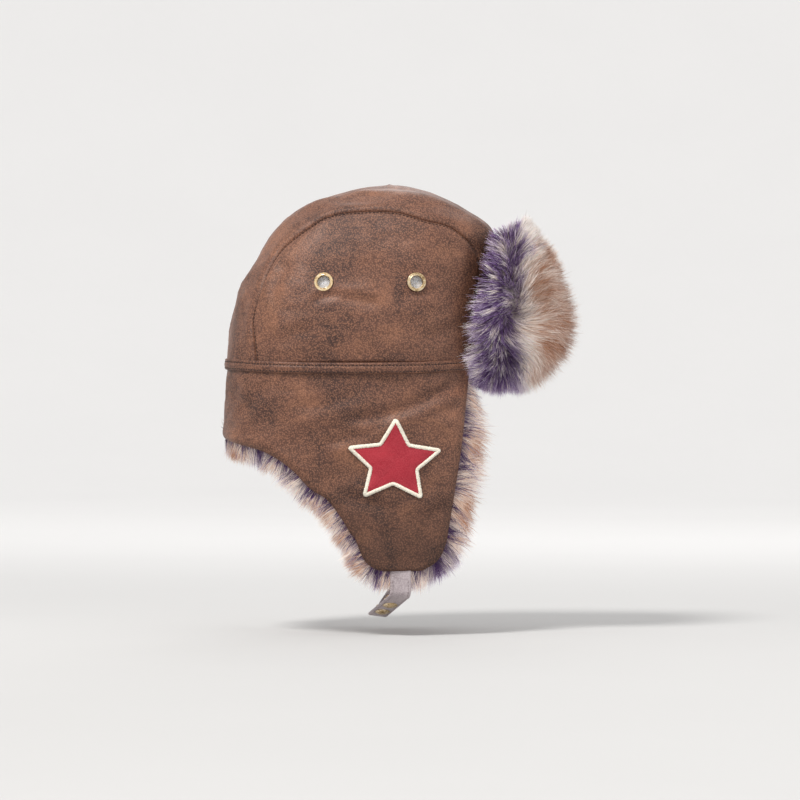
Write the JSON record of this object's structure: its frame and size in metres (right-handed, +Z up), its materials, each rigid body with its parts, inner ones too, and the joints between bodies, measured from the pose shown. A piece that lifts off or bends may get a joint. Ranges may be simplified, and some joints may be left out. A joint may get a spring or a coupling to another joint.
{
  "type": "trapper hat",
  "caption": "Leather trapper hat with a fur lining, a folded-up fur visor, hanging ear flaps and snap chin straps.",
  "frame": {"origin": "centre of the head opening, level with the band seam between the crown and the skirt", "axes": "+X to the front of the hat, +Y to the wearer's left, +Z up"},
  "size_m": [0.2954, 0.18, 0.3595],
  "materials": {
    "leather": "distressed pebbled matt brown",
    "lining": "woven dark brown",
    "sweatband": "smooth dark brown",
    "brass": "antique, worn bright on the rims",
    "screen": "light grey woven mesh",
    "fur": "long pile, violet roots, cream and tan tips",
    "star_red": "smooth red",
    "star_thread": "cream satin stitch",
    "stiffener": "woven interlining"
  },
  "bodies": {
    "crown": {"crown_side_right": "leather", "crown_side_left": "leather", "crown_centre_panel": "leather", "crown_band": "leather", "neck_curtain_shell": "leather", "lining_side_right": "lining", "lining_side_left": "lining", "lining_centre_panel": "lining", "sweatband": "sweatband", "eyelet_front_right": "brass", "washer_front_right": "brass", "screen_front_right": "screen", "eyelet_rear_right": "brass", "washer_rear_right": "brass", "screen_rear_right": "screen", "eyelet_front_left": "brass", "washer_front_left": "brass", "screen_front_left": "screen", "eyelet_rear_left": "brass", "washer_rear_left": "brass", "screen_rear_left": "screen", "neck_curtain_fur": "fur"},
    "ear_flap_right": {"ear_flap_right_shell": "leather", "ear_flap_right_fur": "fur", "star_patch": "star_red", "star_border": "star_thread"},
    "ear_flap_left": {"ear_flap_left_shell": "leather", "ear_flap_left_fur": "fur"},
    "visor": {"visor_shell": "leather", "visor_fur": "fur", "visor_stiffener": "stiffener"},
    "chin_strap_right": {"chin_strap_right": "leather", "snap_cap_right_upper": "brass", "snap_cap_right_lower": "brass", "snap_socket_right_upper": "brass", "snap_socket_right_lower": "brass"},
    "chin_strap_left": {"chin_strap_left": "leather", "snap_stud_left": "brass", "snap_post_left": "brass"}
  },
  "joints": [
    {"name": "ear_flap_right_fold", "type": "hinge", "parent": "crown", "child": "ear_flap_right", "pos_m": [0.098, -0.0916, -0.011], "axis": [-0.9481, 0, -0.3179], "range_deg": [0, 150]},
    {"name": "ear_flap_left_fold", "type": "hinge", "parent": "crown", "child": "ear_flap_left", "pos_m": [0.098, 0.0916, -0.011], "axis": [0.9481, 0, 0.3179], "range_deg": [0, 150]},
    {"name": "visor_fold", "type": "hinge", "parent": "crown", "child": "visor", "pos_m": [0.0975, 0, -0.0055], "axis": [0, 1, 0], "range_deg": [0, 75]},
    {"name": "chin_strap_right_swing", "type": "hinge", "parent": "ear_flap_right", "child": "chin_strap_right", "pos_m": [0.04, -0.0787, -0.1698], "axis": [-1, 0, 0], "range_deg": [-15, 60]},
    {"name": "chin_strap_left_swing", "type": "hinge", "parent": "ear_flap_left", "child": "chin_strap_left", "pos_m": [0.04, 0.0787, -0.1698], "axis": [1, 0, 0], "range_deg": [-15, 60]}
  ]
}
